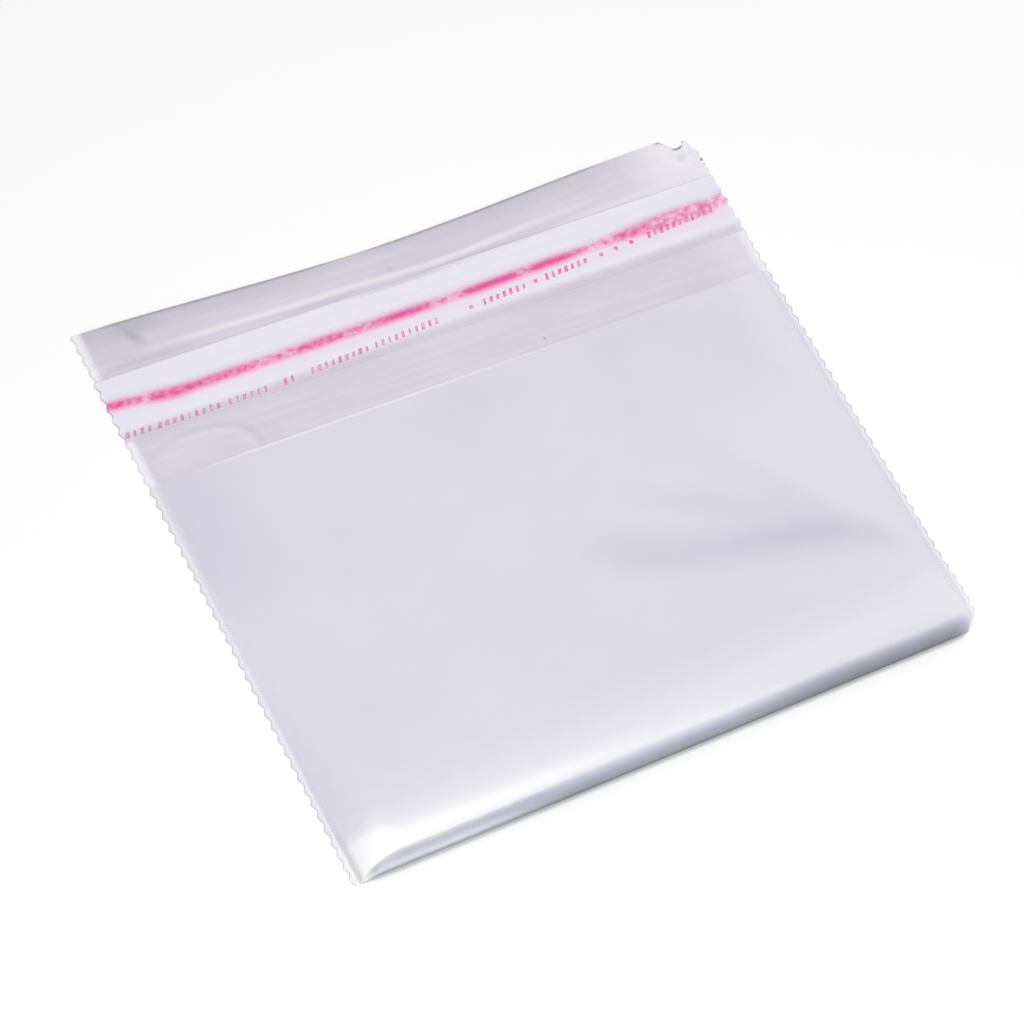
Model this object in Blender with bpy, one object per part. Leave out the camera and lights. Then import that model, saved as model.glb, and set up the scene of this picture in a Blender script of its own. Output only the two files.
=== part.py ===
"""Self-seal cellophane bag, lying flat with its mouth and flap away from the viewer.

One sheet of clear film is folded at the bottom and welded down both sides. The back panel runs on
past the mouth as the flap, which carries a strip of adhesive under a peel-off liner.
X runs across the bag, Y from the bottom fold to the flap, Z up. The origin is on the table, under
the middle of the bag.
"""
import math

import bmesh
import bpy

# Driving dimensions, in metres
BAG_WIDTH = 0.160  # across the bag, tooth tip to tooth tip
POCKET_DEPTH = 0.100  # bottom fold to the mouth
FLAP_DEPTH = 0.040  # mouth to the flap's free edge
FILM = 0.00005  # one layer of film
SEAL_WIDTH = 0.0016  # side weld, measured in from the tooth tips
TOOTH_PITCH = 0.0031  # the knife's teeth along both sides
TOOTH_DEPTH = 0.0008
MOUTH_GAP = 0.0004  # space between the two panels at the mouth

# The bottom fold was never pressed flat, so it stands open as a soft loop
LOOP_HEIGHT = 0.0060
LOOP_CREST = 0.0080  # from the fold to where the front panel is highest
LOOP_HEEL = 0.0036  # from the fold to where the back panel meets the table
LOOP_REACH = 0.060  # from the fold to where the front panel has come down
LOOP_NOSE = 0.45  # height of the fold's foremost line, as a share of the loop
LEFT_RISE = 0.012  # width over which the loop opens beside each weld
RIGHT_RISE = 0.0075
FULLNESS = 3  # how steeply it swells at the weld: 1 is an even slope
LEFT_LIFT = 0.0003  # how far each weld stands off the table at the fold
RIGHT_LIFT = 0.0020
LIFT_REACH = 0.022  # from the fold to where both welds lie on the table
CORNER_PULL = 0.0014  # how far the open loop draws the right weld inwards at the fold
PULL_REACH = 0.008
CORNER_ROUND = 0.0036  # how far the corner itself is rounded off there
ROUND_REACH = 0.0020
FOLD_LENGTH = 0.00015  # the fold's depth where it is welded shut

# Peel-off tape on the flap
TAPE_FROM_MOUTH = 0.0115  # mouth to the liner's near edge
LINER_WIDTH = 0.016
ADHESIVE_WIDTH = 0.0115
ADHESIVE_INSET = 0.002  # liner's near edge to the adhesive's near edge
TAPE_LAYER = 0.00005  # thickness of the adhesive, and of the liner
CLEARANCE = 0.0003

# Torn corner of the flap: distance in from the right side, and how much film is missing there
TORN_CORNER = ((0.0083, 0.0), (0.0060, 0.0030), (0.0040, 0.0026), (0.0018, 0.0020), (0.0, 0.0050))

# The flap's free edge bows in towards the mouth
EDGE_SAG = 0.0029
SAG_PLACE = 0.068  # where it is deepest, from the left side
SAG_REACH = 0.082  # how far it reaches to both sides of that

NOSE_STEPS = 6  # facets in each half of the fold
RISE_STEPS = (0.05, 0.13, 0.25, 0.42, 0.66, 1.0)  # where the sheet is divided beside each weld
MIDDLE_STEPS = (0.25, 0.5, 0.75)  # and across the middle of the bag

body_rows = 2 * round(POCKET_DEPTH / TOOTH_PITCH)
flap_rows = 2 * round(FLAP_DEPTH / TOOTH_PITCH)
fold_y = -(POCKET_DEPTH + FLAP_DEPTH) / 2
mouth_y = fold_y + POCKET_DEPTH
half_width = BAG_WIDTH / 2


def clear_scene():
    for old in list(bpy.data.objects):
        bpy.data.objects.remove(old, do_unlink=True)


def plastic(name, colour, roughness, alpha):
    material = bpy.data.materials.new(name)
    material.use_nodes = True
    shader = material.node_tree.nodes["Principled BSDF"]
    shader.inputs["Base Color"].default_value = (*colour, 1)
    shader.inputs["Roughness"].default_value = roughness
    shader.inputs["Metallic"].default_value = 0
    shader.inputs["Alpha"].default_value = alpha
    return material


def smooth(share):
    share = min(max(share, 0), 1)
    return share * share * (3 - 2 * share)


def tooth(row):
    """How far the cut edge lies in from the tooth tips: all the way on even rows, none on odd."""
    return TOOTH_DEPTH if row % 2 == 0 else 0


def stations():
    """Where the sheet is divided across its width, each with its openness and its side."""
    left = -half_width + SEAL_WIDTH
    right = half_width - SEAL_WIDTH
    open_left, open_right = left + LEFT_RISE, right - RIGHT_RISE
    columns = [(-half_width, 0), (left, 0)]
    columns += [(left + share * LEFT_RISE, share) for share in RISE_STEPS]
    columns += [(open_left + share * (open_right - open_left), 1) for share in MIDDLE_STEPS]
    columns += [(right - share * RIGHT_RISE, share) for share in reversed(RISE_STEPS)]
    columns += [(right, 0), (half_width, 0)]
    return columns


def section(x, openness):
    """The bag's section at one station: how open it is, how high its weld line is held."""
    share = 1 - (1 - openness) ** FULLNESS
    lift = (LEFT_LIFT if x < 0 else RIGHT_LIFT) * (1 - share)
    gap = share * LOOP_HEIGHT + (1 - share) * 2 * FILM
    return {
        "low": lift,
        "high": lift + gap,
        "nose": lift + FILM * (1 - share) + share * LOOP_NOSE * LOOP_HEIGHT,
        "crest": FOLD_LENGTH + share * (LOOP_CREST - FOLD_LENGTH),
        "heel": FOLD_LENGTH + share * (LOOP_HEEL - FOLD_LENGTH),
        "flat": 2 * FILM + smooth(3 * openness) * MOUTH_GAP,
    }


def back_point(cut, share, skin):
    """A point of the back panel, from the heel of the loop at 0 to the mouth at 1."""
    y = cut["heel"] + share * (POCKET_DEPTH - cut["heel"])
    down = 1 - smooth((y - cut["heel"]) / LIFT_REACH)
    return y, cut["low"] * down + skin


def front_point(cut, share, skin):
    """A point of the front panel, from the crest of the loop at 0 to the mouth at 1."""
    y = cut["crest"] + share * (POCKET_DEPTH - cut["crest"])
    down = 1 - smooth((y - cut["heel"]) / LIFT_REACH)
    falls = 1 - smooth((y - cut["crest"]) / (LOOP_REACH - cut["crest"]))
    apart = falls * (cut["high"] - cut["low"]) + (1 - falls) * cut["flat"]
    return y, cut["low"] * down + apart - skin


def nose_point(cut, turn, skin):
    """A point of the fold, from the heel at -1 round the foremost line at 0 to the crest at 1."""
    angle = abs(turn) * math.pi / 2
    reach = cut["crest"] if turn > 0 else cut["heel"]
    edge = cut["high"] if turn > 0 else cut["low"]
    rise = abs(edge - cut["nose"]) - skin
    y = skin + (reach - skin) * (1 - math.cos(angle))
    return y, cut["nose"] + math.copysign(max(rise, 0), turn) * math.sin(angle)


def film_rows():
    """The sheet's rows, from the flap's edge down the back, round the fold and up to the mouth.

    Each row is a name, a place on that panel and the row number that sets its tooth. Rows that lie
    over each other in the pocket share a twin number.
    """
    rows = [("flap", row / flap_rows, row, None) for row in range(flap_rows, 0, -1)]
    rows += [("back", row / body_rows, row, row + NOSE_STEPS) for row in range(body_rows, 0, -1)]
    rows += [("nose", -turn / NOSE_STEPS, 0, turn) for turn in range(NOSE_STEPS, 0, -1)]
    rows += [("nose", turn / NOSE_STEPS, 0, turn) for turn in range(NOSE_STEPS)]
    rows += [("front", row / body_rows, row, row + NOSE_STEPS) for row in range(body_rows + 1)]
    return rows


def missing_film(x):
    """How much of the flap is torn off at this place along its free edge."""
    from_side = half_width - x
    for (outer, outer_cut), (inner, inner_cut) in zip(TORN_CORNER, TORN_CORNER[1:]):
        if inner <= from_side <= outer:
            return outer_cut + (inner_cut - outer_cut) * (outer - from_side) / (outer - inner)
    return 0


def edge_sag(x):
    """How far the flap's free edge has moved in at this place across the bag."""
    return EDGE_SAG * smooth(1 - abs(x + half_width - SAG_PLACE) / SAG_REACH)


def film_point(x, openness, row, skin):
    panel, place, number, _ = row
    cut = section(x, openness)
    if panel == "flap":
        torn = missing_film(x) * smooth((place - 0.7) / 0.3)
        sag = edge_sag(x) * smooth((place - 0.35) / 0.65)
        y, z = POCKET_DEPTH + place * FLAP_DEPTH - torn - sag, skin
    else:
        y, z = {"back": back_point, "front": front_point, "nose": nose_point}[panel](cut, place, skin)
    if abs(x) == half_width:
        x -= math.copysign(tooth(number), x)
    if x > 0:
        pull = CORNER_PULL * math.exp(-((y / PULL_REACH) ** 2))
        pull += CORNER_ROUND * math.exp(-((y / ROUND_REACH) ** 2))
        x -= pull * (x / half_width) ** 12
    return x, fold_y + y, z


def build_film():
    """The sheet is laid out as blocks of film between an outer and an inner skin.

    In the welds the inner skins of the two panels are the same points, so the panels are one piece
    there. A face that two blocks share is inside the film and is left out.
    """
    rows, columns = film_rows(), stations()
    last = len(columns) - 1
    mesh = bmesh.new()
    points, sides = {}, {}

    def corner(i, j, skin):
        twin = rows[i][3]
        welded = j in (0, 1, last - 1, last)
        key = ("weld", twin, j) if skin and welded and twin is not None else (i, j, skin)
        if key not in points:
            points[key] = mesh.verts.new(film_point(*columns[j], rows[i], skin))
        return points[key]

    for i in range(len(rows) - 1):
        for j in range(last):
            outer = [corner(i, j, 0), corner(i, j + 1, 0), corner(i + 1, j + 1, 0), corner(i + 1, j, 0)]
            inner = [corner(i, j, FILM), corner(i, j + 1, FILM)]
            inner += [corner(i + 1, j + 1, FILM), corner(i + 1, j, FILM)]
            walls = [(outer[k], inner[k], inner[k - 3], outer[k - 3]) for k in range(4)]
            for side in [outer, inner[::-1], *walls]:
                loop = [v for k, v in enumerate(side) if v is not side[k - 1]]
                if len(loop) > 2:
                    sides.setdefault(frozenset(loop), []).append(loop)
    for same in sides.values():
        if len(same) == 1:
            mesh.faces.new(same[0])
    bmesh.ops.recalc_face_normals(mesh, faces=mesh.faces)
    return mesh


def put(name, mesh, material):
    data = bpy.data.meshes.new(name)
    mesh.to_mesh(data)
    mesh.free()
    data.materials.append(material)
    piece = bpy.data.objects.new(name, data)
    bpy.context.scene.collection.objects.link(piece)
    return piece


def film_bag():
    mesh = build_film()
    flat = math.radians(0.01)
    bmesh.ops.dissolve_limit(mesh, angle_limit=flat, verts=mesh.verts, edges=mesh.edges)
    piece = put("film_bag", mesh, plastic("clear film", (0.70, 0.69, 0.79), 0.12, 0.6))
    piece.data.shade_smooth()
    piece.data.set_sharp_from_angle(angle=math.radians(40))
    return piece


def side_edge(y):
    """Where the cut side of the flap lies at this distance from the mouth."""
    phase = y / FLAP_DEPTH * flap_rows
    return half_width - TOOTH_DEPTH * abs(phase - 2 * math.floor(phase / 2) - 1)


def tape(name, start, width, base, material):
    """A flat strip right across the flap, its ends cut by the same knife as the film."""
    tooth_step = FLAP_DEPTH / flap_rows
    cuts = [row * tooth_step for row in range(flap_rows) if start < row * tooth_step < start + width]
    side = [(side_edge(y), y) for y in [start, *cuts, start + width]]
    outline = side + [(-x, y) for x, y in reversed(side)]
    mesh = bmesh.new()
    face = mesh.faces.new([mesh.verts.new((x, mouth_y + y, base)) for x, y in outline])
    raised = bmesh.ops.extrude_face_region(mesh, geom=[face])["geom"]
    tops = [part for part in raised if isinstance(part, bmesh.types.BMVert)]
    bmesh.ops.translate(mesh, verts=tops, vec=(0, 0, TAPE_LAYER))
    bmesh.ops.recalc_face_normals(mesh, faces=mesh.faces)
    return put(name, mesh, material)


def adhesive_strip():
    start = TAPE_FROM_MOUTH + ADHESIVE_INSET
    base = FILM + CLEARANCE
    look = plastic("adhesive", (0.78, 0.77, 0.82), 0.35, 0.5)
    return tape("adhesive_strip", start, ADHESIVE_WIDTH, base, look)


def release_liner():
    base = FILM + CLEARANCE + TAPE_LAYER + CLEARANCE
    look = plastic("liner film", (0.80, 0.79, 0.86), 0.25, 0.7)
    return tape("release_liner", TAPE_FROM_MOUTH, LINER_WIDTH, base, look)


clear_scene()
film_bag()
adhesive_strip()
release_liner()
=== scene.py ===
import math

import bpy
from mathutils import Matrix, Vector


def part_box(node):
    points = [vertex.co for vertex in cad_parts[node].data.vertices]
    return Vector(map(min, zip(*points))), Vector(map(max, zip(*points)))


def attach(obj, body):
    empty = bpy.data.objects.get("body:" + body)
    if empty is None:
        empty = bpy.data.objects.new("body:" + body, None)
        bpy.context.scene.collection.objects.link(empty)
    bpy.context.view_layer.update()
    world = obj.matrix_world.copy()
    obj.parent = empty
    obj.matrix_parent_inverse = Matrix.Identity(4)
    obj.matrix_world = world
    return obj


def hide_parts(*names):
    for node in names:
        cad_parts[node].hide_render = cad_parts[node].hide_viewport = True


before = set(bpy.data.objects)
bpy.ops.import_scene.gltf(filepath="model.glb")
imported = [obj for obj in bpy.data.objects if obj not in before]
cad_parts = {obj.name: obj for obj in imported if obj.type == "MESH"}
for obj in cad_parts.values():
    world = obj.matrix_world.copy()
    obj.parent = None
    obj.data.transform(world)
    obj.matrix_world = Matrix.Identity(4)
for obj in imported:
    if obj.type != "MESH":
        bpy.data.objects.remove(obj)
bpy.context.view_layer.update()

filmLow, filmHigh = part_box("film_bag")
linerLow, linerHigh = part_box("release_liner")
glueLow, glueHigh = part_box("adhesive_strip")

pocketDepth = 0.100  # fold to mouth
toothCount = 32  # along each side of the pocket

# The bag's own sizes, in metres, as it lies with its fold towards the viewer
bag = {
    "width": filmHigh.x - filmLow.x,  # tooth tip to tooth tip
    "pocketDepth": pocketDepth,
    "flapDepth": filmHigh.y - filmLow.y - pocketDepth,  # mouth to the flap's free edge
    "film": 0.00005,  # one layer
    "sealWidth": 0.0016,
    "toothPitch": pocketDepth / toothCount,
    "toothDepth": 0.0008,
    "toothJitter": 0.35,  # share by which one tooth differs from the next
    "mouthGap": 0.0004,  # between the two panels at the mouth
    # the fold stands open as a soft loop
    "loopHeight": filmHigh.z - filmLow.z,
    "loopCrest": 0.0080,  # from the fold to the loop's highest line
    "loopHeel": 0.0036,  # from the fold to where the back panel meets the table
    "loopReach": 0.060,  # from the fold to where the front panel has come down
    "loopNose": 0.45,  # height of the foremost line, as a share of the loop
    "leftRise": 0.012,  # width over which the loop opens beside each weld
    "rightRise": 0.0075,
    "fullness": 3,  # how steeply the loop swells at the weld
    "leftLift": 0.0003,  # how far each weld stands off the table at the fold
    "rightLift": 0.0020,
    "liftReach": 0.022,
    "cornerPull": 0.0014,  # how far the open loop draws the right weld in
    "pullReach": 0.008,
    "cornerRound": 0.0036,
    "roundReach": 0.0020,
    "foldLength": 0.00015,  # the fold's depth where it is welded shut
    "foldDraw": 0.0004,  # the fold stands back from the straight edge, most at its left end
    "drawReach": 0.012,
    # the panels
    "panelWave": 0.00035,  # soft waves in the front panel
    "backWave": 0.00012,
    "waveFrom": 0.004,  # from the loop to where the waves start
    "waveFull": 0.030,
    "hollowDepth": 0.0003,  # the slanting hollow in the front panel
    # the flap, at distances beyond the mouth
    "tapeRise": 0.00010,  # how far the flap stands off the table under its tape
    "tapeRiseFrom": 0.002,
    "tapeRiseTo": 0.014,
    "billow": 0.00025,
    "billowReach": 0.020,
    "ridge": 0.00007,  # lengthwise ridges between the tape and the free edge
    "ridgePitch": 0.0046,
    "ridgeStart": 0.028,
    "ridgeFrom": 0.0275,
    "ridgeTo": 0.031,
    "creaseRise": 0.00022,  # the long crease beside the tape
    "creasePlace": 0.0306,
    "creaseHalf": 0.0016,
    "creaseFull": 0.094,  # across the bag, where it starts to fade
    "creaseEnd": 0.142,
    "edgeCurl": 0.0004,
    "curlFrom": 0.033,
    "edgeSag": 0.0027,  # how far the free edge bows in towards the mouth
    "sagPlace": 0.074,
    "sagReach": 0.080,
    "lineWobble": 0.06,  # unevenness of the lines round the fold
    "seed": 7.3,
}

# How finely the pieces are divided. On the film, rows run round the fold and columns across.
grid = {
    "weldColumns": 3,
    "leftColumns": 22,
    "middleColumns": 50,
    "rightColumns": 14,
    "noseRows": 16,
    "bodyRows": 128,
    "flapRows": 52,
    "tapeRows": 40,
    "beadSides": 10,
    "beadRings": 6,
    "dotSides": 10,
}
foldY = filmLow.y
mouthY = foldY + bag["pocketDepth"]
cutLength = 2 * bag["pocketDepth"] + bag["flapDepth"]
columnCounts = [grid["weldColumns"], grid["leftColumns"], grid["middleColumns"]]
columnCounts += [grid["rightColumns"], grid["weldColumns"]]
firstRaise = 0.00001  # a layer's far side starts this far off, before it is moved into place
mergeWithin = 1e-7  # points nearer than this become one

# The same in millimetres, which the materials are drawn in
millimetre = 0.001
widthMm, pocketMm, flapMm = (bag[key] / millimetre for key in ("width", "pocketDepth", "flapDepth"))
cutMm = cutLength / millimetre


def joining(operation, turned=False):
    # a method that joins a wire with another wire or a number in a maths node
    def join(self, other):
        values = (other, self) if turned else (self, other)
        return self.maths(operation, *values)

    return join


class Wire:
    # One socket of a node tree that takes part in Python sums. A Wire without a socket is the bare tree.
    def __init__(self, tree, socket=None):
        self.tree, self.socket = tree, socket

    def pick(self, sockets, key):
        if isinstance(key, int):
            return sockets[key]
        return next(s for s in sockets if s.enabled and key in (s.name, s.identifier))

    def add(self, kind, settings=(), sockets=(), out=0):
        node = self.tree.nodes.new(kind)
        for name, value in dict(settings).items():
            if name == "stops":
                self.setStops(node.color_ramp, value)
            else:
                setattr(node, name, value)
        for key, value in dict(sockets).items():
            target = self.pick(node.inputs, key)
            for one in value if isinstance(value, list) else [value]:
                if isinstance(one, Wire):
                    self.tree.links.new(one.socket, target)
                else:
                    target.default_value = one
        return Wire(self.tree, self.pick(node.outputs, out) if len(node.outputs) else None)

    def setStops(self, ramp, stops):
        while len(ramp.elements) < len(stops):
            ramp.elements.new(0.5)
        for element, (place, colour) in zip(ramp.elements, stops):
            element.position = place
            element.color = (*colour, 1)

    def also(self, name):
        # another output of the same node
        return Wire(self.tree, self.pick(self.socket.node.outputs, name))

    def maths(self, operation, *values):
        return self.add("ShaderNodeMath", {"operation": operation}, dict(enumerate(values)))

    def of(self, operation):
        return self.maths(operation, self)

    least = joining("MINIMUM")
    most = joining("MAXIMUM")
    __add__ = __radd__ = joining("ADD")
    __sub__ = joining("SUBTRACT")
    __rsub__ = joining("SUBTRACT", turned=True)
    __mul__ = joining("MULTIPLY")
    __truediv__ = joining("DIVIDE")
    __pow__ = joining("POWER")
    __gt__ = joining("GREATER_THAN")
    __lt__ = joining("LESS_THAN")

    def __neg__(self):
        return self * -1

    def __abs__(self):
        return self.of("ABSOLUTE")


def ramp(value, low, high, start=0, end=1, kind="LINEAR"):
    # start below low, end above high, held at both ends
    sockets = {"Value": value, "From Min": low, "From Max": high, "To Min": start, "To Max": end}
    return value.add("ShaderNodeMapRange", {"interpolation_type": kind}, sockets)


def smooth(value, low=0, high=1, start=0, end=1):
    return ramp(value, low, high, start, end, "SMOOTHSTEP")


def blend(factor, first, second):
    # first where factor is 0, second where it is 1
    return factor * (second - first) + first


def bump(value, centre, halfWidth):
    # 1 on the centre, 0 from halfWidth away on
    return smooth(abs(value - centre), halfWidth, 0)


def bumps(value, places):
    # the sum of several bumps, each given as its centre, half width and height
    total = 0
    for centre, halfWidth, height in places:
        total = bump(value, centre, halfWidth) * height + total
    return total


def spot(x, y, centreX, centreY, radius):
    # a soft round spot
    across, along = x - centreX, y - centreY
    return smooth((across * across + along * along).of("SQRT"), radius, radius * 0.3)


def follow(value, points):
    # a line through the points, held at both ends
    height = points[0][1]
    for (nearPlace, nearHeight), (farPlace, farHeight) in zip(points, points[1:]):
        height = ramp(value, nearPlace, farPlace) * (farHeight - nearHeight) + height
    return height


def vector(x, y, z=0.0):
    host = next(value for value in (x, y, z) if isinstance(value, Wire))
    return host.add("ShaderNodeCombineXYZ", (), {"X": x, "Y": y, "Z": z})


def split(place):
    # across and along; the height is x.also("Z")
    x = place.add("ShaderNodeSeparateXYZ", (), {0: place})
    return x, x.also("Y")


def noise(place, scale=1.0, detail=2.0, roughness=0.5):
    # soft noise round 0, about -0.5 to 0.5
    sockets = {"Vector": place, "Scale": scale, "Detail": detail, "Roughness": roughness}
    return place.add("ShaderNodeTexNoise", {"noise_dimensions": "3D"}, sockets) - 0.5


def mottled(value, start=0, end=1):
    # soft noise as a share from 0 to 1, or as values from start to end
    return smooth(value, -0.3, 0.3, start, end)


def plainSizes(values):
    # a piece's plain numbers, without its colours and ranges
    return {key: value for key, value in values.items() if not isinstance(value, tuple)}


def growPiece(name, values, build, material):
    # runs a node tree once, with every number as a named input, and keeps the plain mesh
    values = plainSizes(values)
    tree = bpy.data.node_groups.new(name, "GeometryNodeTree")
    tree.interface.new_socket("Geometry", in_out="OUTPUT", socket_type="NodeSocketGeometry")
    for key in values:
        tree.interface.new_socket(key, in_out="INPUT", socket_type="NodeSocketFloat")
    inputs, output = tree.nodes.new("NodeGroupInput"), tree.nodes.new("NodeGroupOutput")
    sizes = {key: Wire(tree, inputs.outputs[key]) for key in values}
    solid = build(Wire(tree), sizes)
    real = solid.add("GeometryNodeRealizeInstances", (), {"Geometry": solid})
    done = real.add("GeometryNodeSetMaterial", (), {"Geometry": real, "Material": material})
    tree.links.new(done.socket, output.inputs[0])
    piece = bpy.data.objects.new(name, bpy.data.meshes.new(name))
    bpy.context.scene.collection.objects.link(piece)
    modifier = piece.modifiers.new(name, "NODES")
    modifier.node_group = tree
    for item in tree.interface.items_tree:
        if item.in_out == "INPUT":
            modifier[item.identifier] = float(values[item.name])
    graph = bpy.context.evaluated_depsgraph_get()
    mesh = bpy.data.meshes.new_from_object(piece.evaluated_get(graph))
    piece.modifiers.remove(modifier)
    piece.data = mesh
    mesh.name = name
    mesh.shade_smooth()
    mesh.set_sharp_from_angle(angle=math.radians(40))
    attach(piece, "root")
    return piece


def keep(geometry, name, value, kind="FLOAT", domain="POINT"):
    settings = {"data_type": kind, "domain": domain}
    sockets = {"Geometry": geometry, "Name": name, "Value": value}
    return geometry.add("GeometryNodeStoreNamedAttribute", settings, sockets)


def recall(board, name):
    return board.add("GeometryNodeInputNamedAttribute", {"data_type": "FLOAT"}, {"Name": name})


def chance(board, spread, seed):
    # a random number for each point
    sockets = {"Min": spread[0], "Max": spread[1], "Seed": seed}
    return board.add("FunctionNodeRandomValue", {"data_type": "FLOAT"}, sockets, "Value")


def move(geometry, place, chosen=True):
    sockets = {"Geometry": geometry, "Position": place, "Selection": chosen}
    return geometry.add("GeometryNodeSetPosition", (), sockets)


def layer(sheet, near, far, plainNear=0.0, plainFar=1.0, gone=None):
    # A closed layer: the sheet's own faces on the near side, their copies turned over on the far side.
    # "plain" marks the faces that look into the pocket or at the table.
    first = keep(move(sheet, near), "plain", plainNear, "FLOAT", "FACE")
    sockets = {"Mesh": first, "Offset Scale": firstRaise, "Individual": False}
    raised = first.add("GeometryNodeExtrudeMesh", {"mode": "FACES"}, sockets)
    top = raised.also("Top")
    second = keep(move(raised, far, top), "plain", plainFar, "FLOAT", "FACE")
    if gone is not None:
        sockets = {"Geometry": second, "Selection": top * gone}
        second = second.add("GeometryNodeDeleteGeometry", {"domain": "FACE"}, sockets)
    second = second.add("GeometryNodeFlipFaces", (), {"Mesh": second})
    both = first.add("GeometryNodeJoinGeometry", (), {"Geometry": [first, second]})
    return both.add("GeometryNodeMergeByDistance", (), {"Geometry": both, "Distance": mergeWithin})


def flapHeight(size, x, beyond):
    # how high the flap's lower face lies, at a distance across the bag and a distance beyond the mouth
    tape = smooth(beyond, size["tapeRiseFrom"], size["tapeRiseTo"]) * size["tapeRise"]
    soft = noise(vector(x * 14, beyond * 45, size["seed"])) + 0.5
    billow = soft * smooth(beyond, 0.0, size["billowReach"]) * size["billow"]
    turns = (beyond - size["ridgeStart"]) / size["ridgePitch"] + noise(vector(x * 9, size["seed"])) * 1.6
    strength = smooth(noise(vector(x * 22, 3.1)), -0.12, 0.16) * size["ridge"]
    ridges = ((turns * math.tau).of("SINE") + 1) * strength
    ridges = ridges * smooth(beyond, size["ridgeFrom"], size["ridgeTo"])
    crease = bump(beyond, size["creasePlace"], size["creaseHalf"]) * size["creaseRise"]
    crease = crease * smooth(x, size["creaseEnd"], size["creaseFull"])
    curl = smooth(beyond, size["curlFrom"], size["flapDepth"]) * size["edgeCurl"]
    curl = curl * (noise(vector(x * 26, 8.4)) + 0.55)
    return tape + billow + ridges + crease + curl


def knifeCut(size, column, x, y):
    # how far the toothed knife's cut moves an edge point across the bag, at a distance from the fold
    side = blend(x > size["width"] / 2, 1, -1)
    half = sum(columnCounts) / 2
    edge = smooth(abs(column - half), half - grid["weldColumns"], half)
    depth = abs((y / size["toothPitch"]).of("FRACT") * 2 - 1) * size["toothDepth"]
    uneven = noise(vector(y * 190, side * 3, size["seed"])) * size["toothJitter"] + 1
    return depth * uneven * edge * side


def cornerPull(size, x, y):
    # the open loop draws the right weld in at the fold, and its corner is rounded
    wide, tight = y / size["pullReach"], y / size["roundReach"]
    pull = (-(wide * wide)).of("EXPONENT") * size["cornerPull"]
    pull = pull + (-(tight * tight)).of("EXPONENT") * size["cornerRound"]
    return pull * ramp(x, size["width"] / 2, size["width"]) ** 12


# The torn corner: how far in from the right side, and how much film is missing there
tornCorner = [(0.0, 0.0050), (0.0010, 0.0036), (0.0018, 0.0016), (0.0025, 0.0014), (0.0031, 0.0026)]
tornCorner += [(0.0045, 0.0031), (0.0058, 0.0030), (0.0068, 0.0016), (0.0074, 0.0010), (0.0083, 0.0)]


def numberedSheet(board, columns, rows):
    # a flat grid whose points know their column and row
    sockets = {"Size X": float(columns), "Size Y": float(rows)}
    sockets |= {"Vertices X": columns + 1, "Vertices Y": rows + 1}
    sheet = board.add("GeometryNodeMeshGrid", (), sockets)
    x, y = split(board.add("GeometryNodeInputPosition"))
    sheet = keep(sheet, "column", x + columns / 2)
    sheet = keep(sheet, "row", y + rows / 2)
    return sheet, recall(board, "column"), recall(board, "row")


def columnPlaces(size, column):
    # distance across the bag for each column, zone by zone
    middle = size["width"] - size["sealWidth"] * 2 - size["leftRise"] - size["rightRise"]
    widths = [size["sealWidth"], size["leftRise"], middle, size["rightRise"], size["sealWidth"]]
    x, start = 0, 0
    for count, width in zip(columnCounts, widths):
        x = ramp(column, start, start + count) * width + x
        start += count
    return x


# The slanting hollow in the front panel, in millimetres across the bag and from the fold
hollow = {
    "start": (89, 55.6),
    "slant": math.radians(30),  # it runs down to the right
    "halfWidth": 8.0,
    "opens": (-8, 14),  # along the axis, from nothing to its full depth
    "closes": (84, 70),  # and the same at its right end
    "offset": 6.0,  # how far its middle line starts below the slanting axis
    "swing": 12.5,  # how far the middle line then swings across the axis
    "turnBack": 3.0,  # and how far it turns back at its right end
}


def hollowAxes(x, y):
    # the distance down the slanting axis, and aside from it towards the mouth
    startX, startY = hollow["start"]
    cosine, sine = math.cos(hollow["slant"]), math.sin(hollow["slant"])
    down = (x - startX) * cosine - (y - startY) * sine
    aside = (x - startX) * sine + (y - startY) * cosine
    return down, aside


def hollowMiddle(down):
    # how far aside of the axis the hollow's middle line runs
    swing = smooth(down, 4, 64) * hollow["swing"] - smooth(down, 60, 78) * hollow["turnBack"]
    return swing - hollow["offset"]


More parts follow.
